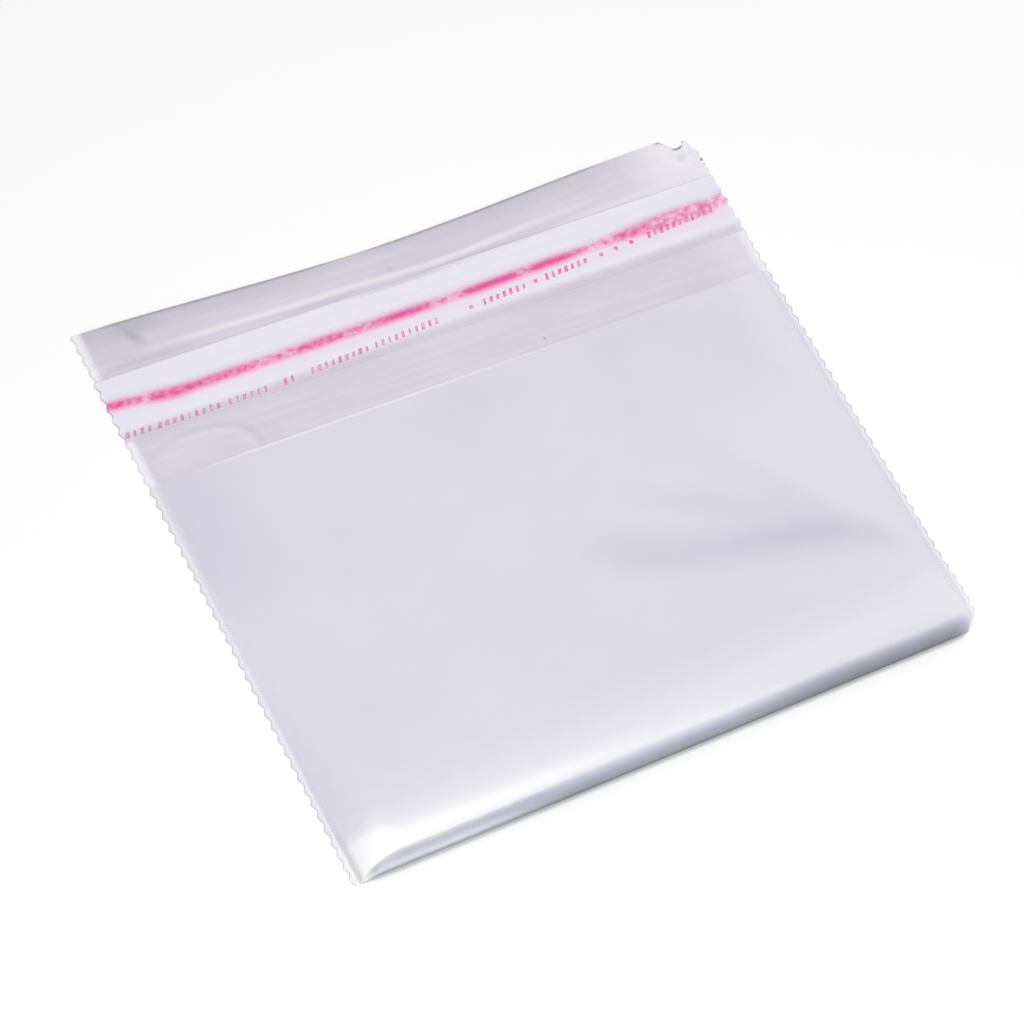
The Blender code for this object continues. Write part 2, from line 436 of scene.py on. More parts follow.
def filmShape(board, size):
    columns = sum(columnCounts)
    pocketRows = grid["noseRows"] + grid["bodyRows"]
    foldRow = grid["flapRows"] + pocketRows
    sheet, column, row = numberedSheet(board, columns, foldRow + pocketRows)
    x = columnPlaces(size, column)
    fromRight = size["width"] - x
    leftOpen = ramp(x, size["sealWidth"], size["sealWidth"] + size["leftRise"])
    rightOpen = ramp(fromRight, size["sealWidth"], size["sealWidth"] + size["rightRise"])
    opening = leftOpen * rightOpen
    shut = (1 - opening) ** size["fullness"]
    isOpen = 1 - shut

    # along the film, from the flap's free edge down the back, round the fold and up the front
    fromFold = row - foldRow
    front = fromFold > -0.5
    way = blend(front, -1, 1)
    away = abs(fromFold)
    turn = ramp(away, 0, grid["noseRows"])
    body = ramp(away, grid["noseRows"], pocketRows)
    flap = ramp(-fromFold, pocketRows, foldRow)
    isFlap = -fromFold > pocketRows
    angle = turn * (math.pi / 2)
    onNose = away < grid["noseRows"] - 0.5

    lift = blend(x > size["width"] / 2, size["leftLift"], size["rightLift"]) * shut
    gap = isOpen * size["loopHeight"] + shut * size["film"] * 2
    high = lift + gap
    nose = lift + size["film"] * shut + isOpen * size["loopNose"] * size["loopHeight"]
    crest = blend(isOpen, size["foldLength"], size["loopCrest"])
    heel = blend(isOpen, size["foldLength"], size["loopHeel"])
    reach = blend(front, heel, crest)
    flatGap = size["film"] * 2 + smooth(opening * 3) * size["mouthGap"]

    bodyLength = (size["pocketDepth"] - reach) * body
    down = smooth(bodyLength / size["liftReach"], 0, 1, 1, 0)
    falls = smooth(bodyLength / (size["loopReach"] - crest), 0, 1, 1, 0)
    beyond = size["flapDepth"] * flap
    y = reach + bodyLength + beyond

    # soft waves, always outwards so that the panels stay apart
    broad = noise(vector(x * 21, y * 24, size["seed"])) + 0.5
    fine = noise(vector(x * 60, y * 16, size["seed"] + 4)) + 0.5
    settled = smooth(bodyLength, size["waveFrom"], size["waveFull"]) * isOpen
    slope, aside = hollowAxes(x / millimetre, y / millimetre)
    sunk = bump(aside, hollowMiddle(slope), hollow["halfWidth"])
    sunk = sunk * smooth(slope, *hollow["opens"]) * smooth(slope, *hollow["closes"])
    frontWave = (broad * 0.7 + fine * 0.3) * settled * size["panelWave"]
    frontWave = frontWave + (1 - sunk) * settled * size["hollowDepth"]
    backWave = broad * settled * size["backWave"] * smooth(flap, 0.25, 0)

    cutIn = knifeCut(size, column, x, y)
    torn = follow(fromRight, tornCorner) * smooth(flap, 0.7, 1.0)
    sag = bump(x, size["sagPlace"], size["sagReach"]) * smooth(flap, 0.35, 1.0) * size["edgeSag"]

    def point(skin):
        noseY = skin + (reach - skin) * (1 - angle.of("COSINE"))
        noseRise = abs(blend(front, lift, high) - nose) - skin
        noseZ = nose + noseRise.most(0) * angle.of("SINE") * way
        apart = falls * gap + (1 - falls) * flatGap
        frontZ = lift * down + apart - skin + frontWave + backWave
        backZ = lift * down + skin + backWave + flapHeight(size, x, beyond)
        z = blend(onNose, blend(front, backZ, frontZ), noseZ)
        draw = smooth(y / size["drawReach"], 1, 0) * size["foldDraw"]
        draw = draw * (smooth(x, 0.030, 0.004) * 0.9 + 1)
        outX = x + cutIn - cornerPull(size, x, noseY + bodyLength + beyond)
        outY = noseY + bodyLength + beyond + draw - torn - sag
        return vector(outX - size["width"] / 2, outY + foldY, z)

    # what the material reads: the place on the flat sheet, the turn round the fold, and cloudiness
    alongCut = size["flapDepth"] + size["pocketDepth"] + way * (reach * turn + bodyLength) - beyond
    cut = vector(x / cutLength, alongCut / cutLength)
    wobble = noise(vector(x * 260, turn * 2, size["seed"])) * size["lineWobble"]
    cloud = noise(vector(x * 34, y * 34, way * 9), 1.0, 3.0)
    sheet = keep(sheet, "turn", turn * way + wobble, "FLOAT", "CORNER")
    sheet = keep(sheet, "cloud", cloud, "FLOAT", "CORNER")
    sheet = keep(sheet, "cut", cut, "FLOAT2", "CORNER")
    welded = abs(column - columns / 2) > columns / 2 - grid["weldColumns"]
    pocket = away < pocketRows
    return layer(sheet, point(0.0), point(size["film"]), isFlap, 1 - isFlap, welded * pocket)


def newMaterial(name):
    material = bpy.data.materials.new(name)
    material.use_nodes = True
    material.node_tree.nodes.clear()
    return material, Wire(material.node_tree)


def finishMaterial(board, shader):
    board.add("ShaderNodeOutputMaterial", (), {"Surface": shader})


def tint(factor, first, second):
    # mixes two colours, given as wires or as plain values
    values = [c if isinstance(c, Wire) else (*c, 1) for c in (first, second)]
    sockets = {"Factor": factor, "A": values[0], "B": values[1]}
    return factor.add("ShaderNodeMix", {"data_type": "RGBA"}, sockets, "Result")


def relief(height, strength, distance):
    sockets = {"Height": height, "Strength": strength, "Distance": distance}
    return height.add("ShaderNodeBump", (), sockets)


def plastic(board, colour, alpha, roughness, **others):
    # the plastic of the film, the tapes and the ink; others are more of its inputs, by name
    sockets = {"Base Color": colour, "Alpha": alpha, "Roughness": roughness, "Specular IOR Level": 1.0}
    sockets.update(others)
    if isinstance(colour, tuple):
        sockets["Base Color"] = (*colour, 1)
    return board.add("ShaderNodeBsdfPrincipled", (), sockets)


def mixed(factor, first, second):
    return factor.add("ShaderNodeMixShader", (), {0: factor, 1: first, 2: second})


def readMark(board, name):
    return board.add("ShaderNodeAttribute", {"attribute_name": name}, out="Fac")


# The film's looks. Distances in the functions below are millimetres on the flat sheet.
panelLook = {
    "clear": (0.825, 0.805, 0.915),
    "cloudy": (0.765, 0.745, 0.860),
    "leftShade": (0.735, 0.715, 0.850),  # painted shade along the far left, towards the mouth
    # painted shade in the slanting hollow
    "hollow": (0.650, 0.630, 0.770),
    "rightStrip": (0.900, 0.885, 0.945),
    # painted highlight on the fold's crest
    "lit": (0.990, 0.985, 1.000),
    "mouth": (0.960, 0.950, 1.000),
    "alpha": 0.40,
    "crestAlpha": 0.42,  # how much more film shows on the fold's crest, under its painted highlight
    "roughness": 0.30,
}


def crestHighlightShare(x, y):
    # the painted highlight along the fold's crest, strongest at the left
    return smooth(y, 16, 5) * ramp(x, 0, 150, 1.0, 0.45)


def panelShader(board, x, y, along, cloud):
    look = panelLook
    colour = tint(smooth(cloud, -0.25, 0.3) * 0.7, look["clear"], look["cloudy"])
    # painted shade along the far left, towards the mouth
    colour = tint(smooth(x, 24, 5) * smooth(y, 55, 86), colour, look["leftShade"])

    # the hollow, darkened with painted shade: sharp towards its right end, broad and weak at the left,
    # with a faint one above it
    slope, aside = hollowAxes(x, y)
    middle = hollowMiddle(slope)
    sharp = bump(aside, middle, 5.5) * smooth(slope, 16, 50) * smooth(x, 158, 149)
    broad = bump(aside, middle, 9.0) * smooth(slope, -8, 10) * smooth(slope, 66, 40)
    above = bump(aside, 8.8, 6.0) * smooth(slope, 0, 20) * smooth(slope, 66, 48)
    colour = tint((sharp * 0.55 + broad * 0.45 + above * 0.22).least(1), colour, look["hollow"])
    wedge = smooth(slope * 0.45 + aside, 34, 39) * smooth(x, 118, 136) * smooth(y, 84, 60)
    colour = tint((wedge * 0.45).most(smooth(x, 145, 154) * 0.6), colour, look["rightStrip"])

    # the painted highlight on the crest with its pale painted tail, and the pale cut edge at the mouth
    bright = crestHighlightShare(x, y)
    colour = tint(bright.most(smooth(y, 21, 9) * 0.6), colour, look["lit"])
    mouthLine = smooth(along, cutMm - 1.0, cutMm - 0.4) * smooth(x, 5, 30) * smooth(x, 130, 55, 0.1, 0.75)
    colour = tint(mouthLine, colour, look["mouth"])
    corner = smooth(x, 14, 6) * smooth(y, 15, 7)
    alpha = bright * bright * look["crestAlpha"] + corner * 0.35 + mouthLine * 0.25 + look["alpha"]
    roughness = mottled(cloud, look["roughness"] - 0.01, look["roughness"] + 0.06)
    return plastic(board, colour, alpha, roughness)


# The fold's wall in painted shade and painted highlight, dark towards its foot and its right end and
# light towards the crest, by the turn round the fold: 0 at its foremost line, 1 at the crest
wallLook = {
    "left": [
        (0.00, (0.330, 0.340, 0.370)), (0.10, (0.370, 0.385, 0.420)), (0.17, (0.520, 0.540, 0.590)),
        (0.23, (0.730, 0.755, 0.835)), (0.30, (0.730, 0.760, 0.840)), (0.38, (0.560, 0.585, 0.660)),
        (0.46, (0.480, 0.500, 0.580)), (0.53, (0.600, 0.625, 0.690)), (0.60, (0.950, 0.955, 0.985)),
    ],
    "middle": [
        (0.00, (0.120, 0.140, 0.155)), (0.10, (0.160, 0.190, 0.205)), (0.17, (0.260, 0.300, 0.330)),
        (0.26, (0.323, 0.366, 0.410)), (0.37, (0.361, 0.392, 0.480)), (0.47, (0.491, 0.515, 0.624)),
        (0.56, (0.624, 0.658, 0.761)), (0.64, (0.799, 0.847, 0.939)), (0.74, (0.890, 0.900, 0.960)),
    ],
    "right": [
        (0.00, (0.090, 0.095, 0.115)), (0.10, (0.125, 0.130, 0.150)), (0.17, (0.185, 0.190, 0.220)),
        (0.26, (0.240, 0.243, 0.300)), (0.37, (0.275, 0.280, 0.350)), (0.47, (0.340, 0.340, 0.430)),
        (0.56, (0.470, 0.470, 0.580)), (0.66, (0.670, 0.660, 0.780)), (0.76, (0.760, 0.750, 0.860)),
    ],
    # painted highlight at the wall's right end
    "lit": (0.900, 0.890, 0.960),
    "shadeStripe": (0.400, 0.440, 0.545),  # a stripe of painted shade halfway up its left half
    "alpha": 0.85,
    "roughness": 0.34,
}


def wallShader(board, x, turn):
    look = wallLook
    shades = {}
    for name in ("left", "middle", "right"):
        shades[name] = board.add("ShaderNodeValToRGB", {"stops": look[name]}, {"Fac": turn}, "Color")
    colour = tint(smooth(x, 24, 54), shades["left"], shades["middle"])
    colour = tint(smooth(x, 88, 122), colour, shades["right"])
    # painted highlight at the wall's right end
    colour = tint(smooth(x, 149, 158) * 0.3, colour, look["lit"])
    colour = tint(bump(x, 42, 24) * bump(turn, 0.45, 0.15) * 0.7, colour, look["shadeStripe"])
    grain = noise(vector(x * 0.2, turn * 9), detail=1.0)
    roughness = mottled(grain, look["roughness"] - 0.05, look["roughness"] + 0.05)
    return plastic(board, colour, look["alpha"], roughness, Normal=relief(grain, 0.2, 0.0002))


flapLook = {
    "band": (0.620, 0.540, 0.700),
    # pale film tone, and painted highlight in the patches and the arch
    "paleToneAndHighlight": (0.880, 0.850, 0.930),
    # painted highlight on creases and crumpled film
    "crease": (0.970, 0.935, 0.990),
    # painted shade at the free edge, the left end and the torn corner
    "shade": (0.280, 0.290, 0.380),
    # painted shade along creases
    "line": (0.400, 0.375, 0.450),
    "edge": (0.270, 0.270, 0.310),
    "torn": (0.060, 0.060, 0.110),
    "dust": (0.200, 0.200, 0.200),
    "inkDust": (0.700, 0.330, 0.500),
    "alpha": 0.50,
    "roughness": 0.34,
    # the bowed crease by the mouth, across the bag and from the fold
    "archCentre": (15.0, 100.5),
    "archReach": (13.8, 8.6),
    # spots: across the bag, from the fold, radius
    "speck": (100.5, 102.3, 0.5),
    "inkSpeck": (75.0, 133.1, 1.0),
    # and across the bag, from the free edge, radius
    "crumpleHighlight": (154.4, 3.6, 6.0),
    "crumpleShade": (154.9, 3.4, 2.4),
    # stretches across the bag: centre, half width, strength
    "folded": [(14, 19, 1.0), (58, 19, 0.7), (90, 24, 0.7)],
    "tears": [(151.6, 2.0, 0.8), (155.2, 2.6, 1.4), (157.8, 0.8, 1.0), (159.3, 0.8, 0.6)],
}
# Soft patches of painted highlight (the pale and crease ones) and painted shade (the shade one): how each
# fades beyond the mouth, how it fades across the bag, its strength and colour
flapPatches = [
    (smooth, (22, 30), (128, 156), 0.75, "paleToneAndHighlight"),
    (bump, (28.6, 2.2), (108, 126), 0.50, "paleToneAndHighlight"),
    (smooth, (24, 12), (142, 158), 0.50, "paleToneAndHighlight"),
    (smooth, (26, 31), (137, 151), 0.45, "crease"),
    (smooth, (30, 34), (20, 5), 0.22, "shade"),
]


def flapShader(board, x, y, along, cloud):
    look = flapLook
    beyond = flapMm - along  # distance past the mouth
    streaks = noise(vector(x * 0.03, along * 0.5), detail=1.0)
    colour = tint(smooth(streaks + cloud * 0.9, -0.35, 0.4) * 0.37, look["band"], look["paleToneAndHighlight"])
    for shape, lengthwise, across, share, name in flapPatches:
        patch = shape(beyond, *lengthwise) * smooth(x, *across)
        colour = tint(patch * share, colour, look[name])

    # the creases beside the tape, in painted shade and painted highlight
    darkPlace = bump(x, 57, 30) * 0.4 - smooth(x, 75, 110) * 0.5 + 29.5
    palePlace = 31.6 - bump(x, 88, 24) * 0.8
    creaseShade = bump(beyond - darkPlace, 0.0, 1.3) * bumps(x, look["folded"]).least(1)
    creaseHighlight = bump(beyond - palePlace, 0.0, 1.5) * smooth(x, 142, 94) * smooth(x, 6, 34)
    colour = tint(creaseShade * 0.48, colour, look["line"])
    colour = tint(creaseHighlight * 0.80, colour, look["crease"])

    # the bowed crease by the mouth, drawn as painted highlight inside it and a painted shade line along
    # it
    (archX, archY), (archWidth, archDepth) = look["archCentre"], look["archReach"]
    reachX, reachY = abs(x - archX) / archWidth, abs(y - archY) / archDepth
    arch = (reachX ** 2.5 + reachY ** 2.5) ** (1 / 2.5)
    bowed = smooth(x, 5, 14) * smooth(x, 30, 26)
    colour = tint(smooth(arch, 1.0, 0.8) * smooth(x, 3, 8) * 0.16, colour, look["paleToneAndHighlight"])
    colour = tint(bump(arch, 0.86, 0.15) * bowed * 0.16, colour, look["paleToneAndHighlight"])
    colour = tint(bump(arch, 1.0, 0.14) * bowed * 0.42, colour, look["line"])

    # painted shade along the free edge, darker along most of its length, with a slanting streak of it
    # near its left end
    strength = smooth(x, 66, 34) * 0.18 + bump(x, 110, 20) * 0.16 + 0.30
    shade = ramp(along, 5.0, 0.3) * strength * smooth(x, 150, 138)
    shade = shade.most(smooth(along, 5.4, 2.2) * bump(x, 15, 15) * 0.62)
    shade = shade.most(bump(x - along * 0.55, 10.8, 2.7) * smooth(along, 8.0, 4.0) * 0.8)
    colour = tint(shade, colour, look["shade"])
    edgeLine = smooth(along, 0.75, 0.30) * smooth(x, 138, 128) * smooth(x, 5, 10)
    edgeLine = edgeLine * (1 - bump(x, 68, 11) * 0.8)
    colour = tint(edgeLine, colour, look["edge"])

    # the torn corner: dark cut edge, and crumpled film below it in painted highlight and painted shade
    crumples = smooth(noise(vector(x * 0.6, along * 0.5), detail=1.0), -0.30, 0.20)
    colour = tint(spot(x, along, *look["crumpleHighlight"]) * crumples * 0.85, colour, look["crease"])
    colour = tint(spot(x, along, *look["crumpleShade"]) * 0.22, colour, look["shade"])
    torn = smooth(along, 0.7, 0.15) * bumps(x, look["tears"]).least(1)
    colour = tint(torn, colour, look["torn"])
    colour = tint(spot(x, y, *look["speck"]), colour, look["dust"])
    colour = tint(spot(x, y, *look["inkSpeck"]) * 0.5, colour, look["inkDust"])
    alpha = shade * 0.10 + edgeLine * 0.20 + torn * 0.4 + creaseShade * 0.10 + look["alpha"]
    roughness = mottled(streaks, look["roughness"] - 0.05, look["roughness"] + 0.06)
    return plastic(board, colour, alpha, roughness, Normal=relief(streaks, 0.2, 0.0003))


weldLook = {
    "film": (0.880, 0.860, 0.960),
    "line": (0.970, 0.970, 0.980),
    "shade": (0.600, 0.590, 0.700),
    "frayed": (0.150, 0.150, 0.220),  # beside the torn corner
    "alpha": 0.34,
    "roughness": 0.24,
}


def weldShader(board, x, y, along, fromSide):
    look = weldLook
    # painted highlight near the fold, carried on from the crest
    bright = smooth(y, 17, 6) * smooth(x, 80, 10)
    line = bump(fromSide, 0.95, 0.5)
    outline = smooth(fromSide, 0.45, 0.1)
    colour = tint(line * 0.8, look["film"], look["line"])
    colour = tint(bump(fromSide, 2.1, 0.7) * 0.4, colour, look["shade"])
    colour = tint(outline * 0.8, colour, look["shade"])
    frayed = smooth(fromSide, 0.7, 0.3) * smooth(along, 7.0, 5.0) * smooth(along, 2.2, 3.2)
    frayed = frayed * (x > widthMm / 2)
    colour = tint(frayed * 0.8, colour, look["frayed"])
    # painted highlight near the fold
    colour = tint(bright * 0.85, colour, look["line"])
    alpha = line * 0.2 + outline * 0.3 + bright * 0.35 + frayed * 0.3 + look["alpha"]
    return plastic(board, colour, alpha, look["roughness"])


insideLook = {
    "clear": (0.890, 0.870, 1.000),
    "cloudy": (0.780, 0.750, 0.900),
    "alpha": 0.04,  # facing into the pocket
    "flapAlpha": 0.12,  # the flap's underside
    "roughness": 0.32,
}


def insideShader(board, isFlap, cloud):
    look = insideLook
    colour = tint(mottled(cloud), look["clear"], look["cloudy"])
    alpha = isFlap * (look["flapAlpha"] - look["alpha"]) + look["alpha"]
    return plastic(board, colour, alpha, look["roughness"])


def filmMaterial():
    material, board = newMaterial("clearFilm")
    sheetX, sheetY = split(board.add("ShaderNodeUVMap", {"uv_map": "cut"}))
    x = sheetX * cutMm
    along = sheetY * cutMm  # from the flap's free edge
    y = abs(along - (flapMm + pocketMm))  # distance from the fold on either panel
    fromSide = x.least(widthMm - x)
    isFlap = along < flapMm
    turn, cloud = readMark(board, "turn"), readMark(board, "cloud")

    # where, by the turn round the fold, the wall's painted shade gives way to the panel's looks
    fadeStart, fadeEnd = smooth(x, 40, 80, 0.54, 0.58), smooth(x, 40, 80, 0.62, 0.76)
    walled = smooth(turn, fadeEnd, fadeStart) * smooth(turn, -0.9, -0.6)
    walled = walled * smooth(x, 1.6, 5.5) * smooth(x, 159.2, 157.0)
    pocket = mixed(walled, panelShader(board, x, y, along, cloud), wallShader(board, x, turn))
    outside = mixed(isFlap, pocket, flapShader(board, x, y, along, cloud))
    outside = mixed(smooth(fromSide, 3.0, 2.0), outside, weldShader(board, x, y, along, fromSide))
    whole = mixed(readMark(board, "plain"), outside, insideShader(board, isFlap, cloud))
    finishMaterial(board, whole)
    return material


def makeFilm():
    film = growPiece("bagFilm", bag, filmShape, filmMaterial())
    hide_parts("film_bag")


# The weld's melted beads, one beside each tooth of the pocket
beads = {
    "beadLength": 0.00062,
    "beadWidth": 0.00036,
    "beadHeight": 0.00012,
    "beadInset": 0.00125,  # from the tooth tips
    "beadSeed": 4,
    "beadSpread": (0.60, 1.15),  # the smallest and the largest, against the sizes above
    "bright": (0.98, 0.98, 0.99),
    "dull": (0.86, 0.85, 0.92),
}


def beadShape(board, size):
    lines = []
    for side in (-1, 1):
        start = vector((size["width"] / 2 - size["beadInset"]) * side, size["toothPitch"] * 0.5)
        sockets = {"Count": toothCount, "Start Location": start, "Offset": vector(0, size["toothPitch"])}
        lines.append(board.add("GeometryNodeMeshLine", {"mode": "OFFSET"}, sockets))
    rows = board.add("GeometryNodeJoinGeometry", (), {"Geometry": lines})
    sockets = {"Segments": grid["beadSides"], "Rings": grid["beadRings"], "Radius": 0.5}
    ball = board.add("GeometryNodeMeshUVSphere", (), sockets)
    vary = chance(board, beads["beadSpread"], beads["beadSeed"])
    scale = vector(size["beadWidth"] * vary, size["beadLength"] * vary, size["beadHeight"])
    sockets = {"Points": rows, "Instance": ball, "Scale": scale}
    placed = board.add("GeometryNodeInstanceOnPoints", (), sockets)
    real = placed.add("GeometryNodeRealizeInstances", (), {"Geometry": placed})
    x, y = split(board.add("GeometryNodeInputPosition"))
    z = x.also("Z")
    across = x + size["width"] / 2
    down = smooth(y / size["liftReach"], 0, 1, 1, 0)
    lift = blend(x > 0, size["leftLift"], size["rightLift"]) * down
    place = vector(x - cornerPull(size, across, y), y + foldY, z + lift + size["film"] * 2)
    return move(real, place)


def beadMaterial():
    material, board = newMaterial("weldBead")
    place = board.add("ShaderNodeTexCoord", out="Object")
    speckle = noise(place, 900.0)
    sockets = {
        "Base Color": tint(mottled(speckle), beads["bright"], beads["dull"]),
        "Roughness": mottled(speckle, 0.18, 0.34),
        "Alpha": 0.8,
        "Coat Weight": 1.0,
    }
    finishMaterial(board, board.add("ShaderNodeBsdfPrincipled", (), sockets))
    return material


def makeBeads():
    piece = growPiece("weldBeads", {**bag, **beads}, beadShape, beadMaterial())


# Both tapes lie on the flap, each a little clear of what is below it
adhesive = {
    "nearEdge": glueLow.y - mouthY,
    "farEdge": glueHigh.y - mouthY,
    "level": 0.00007,  # its underside above the flap's underside
    "layer": 0.00005,
    "clear": (0.880, 0.860, 0.920),
    "hazy": (0.760, 0.740, 0.820),
}
liner = {
    "nearEdge": linerLow.y - mouthY,
    "farEdge": linerHigh.y - mouthY,
    "level": 0.00014,
    "layer": 0.00005,
    "milky": (0.940, 0.920, 1.000),
    "thin": (0.880, 0.860, 0.960),
    "worn": (0.900, 0.800, 0.920),  # at its near edge
    # its far edge line, with painted shade along it
    "rim": (0.560, 0.540, 0.620),
    "ink": (0.800, 0.050, 0.300),
    "inkPale": (0.870, 0.310, 0.560),
    "bleed": (0.960, 0.740, 0.920),
}


def tapeShape(board, size):
    rows = grid["tapeRows"]
    sheet, column, row = numberedSheet(board, sum(columnCounts), rows)
    x = columnPlaces(size, column)
    beyond = size["nearEdge"] + (size["farEdge"] - size["nearEdge"]) * row / rows
    cutIn = knifeCut(size, column, x, beyond + size["pocketDepth"])
    low = flapHeight(size, x, beyond) + size["level"]
    outX, outY = x + cutIn - size["width"] / 2, beyond + mouthY
    return layer(sheet, vector(outX, outY, low + size["layer"]), vector(outX, outY, low))


def adhesiveMaterial():
    material, board = newMaterial("clearAdhesive")
    place = board.add("ShaderNodeTexCoord", out="Object")
    haze = noise(place, 260.0)
    colour = tint(smooth(haze, -0.2, 0.25), adhesive["clear"], adhesive["hazy"])
    alpha, roughness = smooth(haze, -0.3, 0.4, 0.10, 0.22), smooth(haze, -0.25, 0.25, 0.28, 0.42)
    upper = plastic(board, colour, alpha, roughness, Normal=relief(haze, 0.3, 0.0002))
    under = plastic(board, adhesive["clear"], 0.10, 0.3)
    finishMaterial(board, mixed(readMark(board, "plain"), upper, under))
    return material


# The printed line: its place from the fold and its half width, in millimetres, and then stretches of it
# as centre, half width and strength
printLine = {
    "middle": 119.35,
    "halfWidth": 1.32,
    "wider": [(14, 9, 0.3), (39, 8, -0.1), (84, 9, -0.25), (121, 9, -0.3)],
    "worn": [
        (8, 5, 0.4), (38, 7, 0.3), (44, 5, 0.3), (61, 7, 0.35),
        (84, 8, 0.4), (104, 5, 0.3), (124, 9, 0.6),
    ],
    "fresh": [(74, 6, 0.1), (96, 8, 0.5), (110, 6, 0.2)],
    "band": (114.0, 124.5),  # the part of the liner that the print lies in
}


def lineMiddle(x):
    # the line bends away from the mouth at its left end and over its right half
    bend = smooth(x, 18, 0) * 1.6 + smooth(x, 84, 144) * 0.9 + smooth(x, 154, 160) * 0.8
    return bend + printLine["middle"]


def lineWidth(x):
    # its half width: thin in three places, worn wide at its right end
    width = bumps(x, printLine["wider"]) + printLine["halfWidth"]
    return width + smooth(x, 128, 142) * 0.8 - smooth(x, 152, 157) * 0.6


def printColour(x, y, base):
    # the magenta line, mottled and frayed, with a faint stain on both sides, and the line's own share
    halfWidth = lineWidth(x)
    frayed = noise(vector(x * 1.1, y * 1.1, 8.0), roughness=0.65)
    mottle = noise(vector(x * 0.6, y * 0.7, 2.0), detail=1.5)
    away = abs(y - lineMiddle(x)) + frayed * smooth(x, 116, 132, 0.55, 1.0)
    line = smooth(away, halfWidth + 0.75, halfWidth - 0.95)
    worn = bumps(x, printLine["worn"]) + smooth(x, 130, 142) * 0.38 + smooth(x, 154, 158) * 0.3
    fresh = bumps(x, printLine["fresh"])
    strong = smooth(mottle + fresh - worn * 0.35, -0.30, 0.16) * smooth(away, halfWidth, 0.1, 0.3, 1.0)
    stain = smooth(away, halfWidth + 1.7, halfWidth) * 0.75
    nearStain = bump(y, 117.2, 3.0) * smooth(x, 20, 40) * 0.35
    colour = tint(stain.most(nearStain), base, liner["bleed"])
    patchy = smooth(mottle + frayed * 0.5, 0.08, -0.16)
    inkLeft = line * (1 - (worn * (patchy * 0.85 + 0.15)).least(0.85))
    return tint(inkLeft, colour, tint(strong, liner["inkPale"], liner["ink"])), line


def linerMaterial():
    material, board = newMaterial("releaseLiner")
    objectX, objectY = split(board.add("ShaderNodeTexCoord", out="Object"))
    x = (objectX + bag["width"] / 2) / millimetre
    y = (objectY - foldY) / millimetre
    near, far = liner["nearEdge"] / millimetre + pocketMm, liner["farEdge"] / millimetre + pocketMm
    streaks = noise(vector(x * 0.05, y * 0.7), roughness=0.6)
    base = tint(smooth(streaks, -0.3, 0.35) * 0.7, liner["milky"], liner["thin"])
    base = tint(smooth(x, 26, 4) * 0.5, base, liner["thin"])
    # the far edge: a thin edge line darkened with painted shade, and darker just inside it around the
    # middle
    rim = smooth(y, far - 0.45, far - 0.1) * smooth(x, 122, 108)
    base = tint(rim * 0.35, base, liner["rim"])
    nearRimDarker = smooth(y, far - 1.6, far - 0.6) * bump(x, 77, 22)
    base = tint(nearRimDarker * 0.55, base, liner["rim"])
    shown = smooth(y, near, near + 3.2)  # the near edge is worn thin and hardly shows
    base = tint(1 - shown, base, liner["worn"])
    alpha = shown * 0.54 + 0.30
    roughness = mottled(streaks, 0.28, 0.40)
    bare = plastic(board, base, alpha, roughness, Normal=relief(streaks, 0.2, 0.0003))

    colour, line = printColour(x, y, base)
    printed = plastic(board, colour, line * 0.1 + alpha, roughness)
    bandStart, bandEnd = printLine["band"]
    upper = mixed((y > bandStart) * (y < bandEnd), bare, printed)
    under = plastic(board, liner["thin"], shown * 0.3 + 0.3, 0.34)
    finishMaterial(board, mixed(readMark(board, "plain"), upper, under))
    return material


def makeTapes():
    strip = growPiece("adhesiveStrip", {**bag, **adhesive}, tapeShape, adhesiveMaterial())
    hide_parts("adhesive_strip")
    cover = growPiece("releaseLiner", {**bag, **liner}, tapeShape, linerMaterial())
    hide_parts("release_liner")
    flat = (bag["width"], liner["farEdge"] - liner["nearEdge"])


# The row of plain printed marks beside the line: slanting bars in groups, with dots between
marks = {
    "markPitch": 0.00175,
    "barWidth": 0.00080,
    "barHeight": 0.00165,
    "barLean": 0.28,
    "dotRadius": 0.00055,
    "inkLayer": 0.000012,
    "inkLevel": 0.000205,  # above the flap's underside
    "inkSeed": 11,
    "widthSpread": (0.62, 1.25),  # the narrowest and the widest bar, against the size above
    "heightSpread": (0.72, 1.06),
    "ink": (0.900, 0.160, 0.460),
    "inkPale": (0.960, 0.440, 0.720),
}
# each group's first bar, in millimetres from the left, and its number of bars
barGroups = [(1.6, 4), (9.3, 9), (26.2, 6), (39.9, 2), (46.8, 9), (63.2, 10), (91.8, 7), (108.6, 7)]
barGroups += [(137.0, 11)]
dotPlaces = [88.2, 105.6, 123.6, 127.7, 132.0]
# how the row drifts towards the line, as millimetres across and from the fold
rowDrift = [(0, 113.2), (20, 112.8), (35, 112.9), (55, 113.8), (70, 114.6), (88, 115.4)]
rowDrift += [(105, 116.3), (120, 117.1), (140, 118.3), (156, 119.2)]


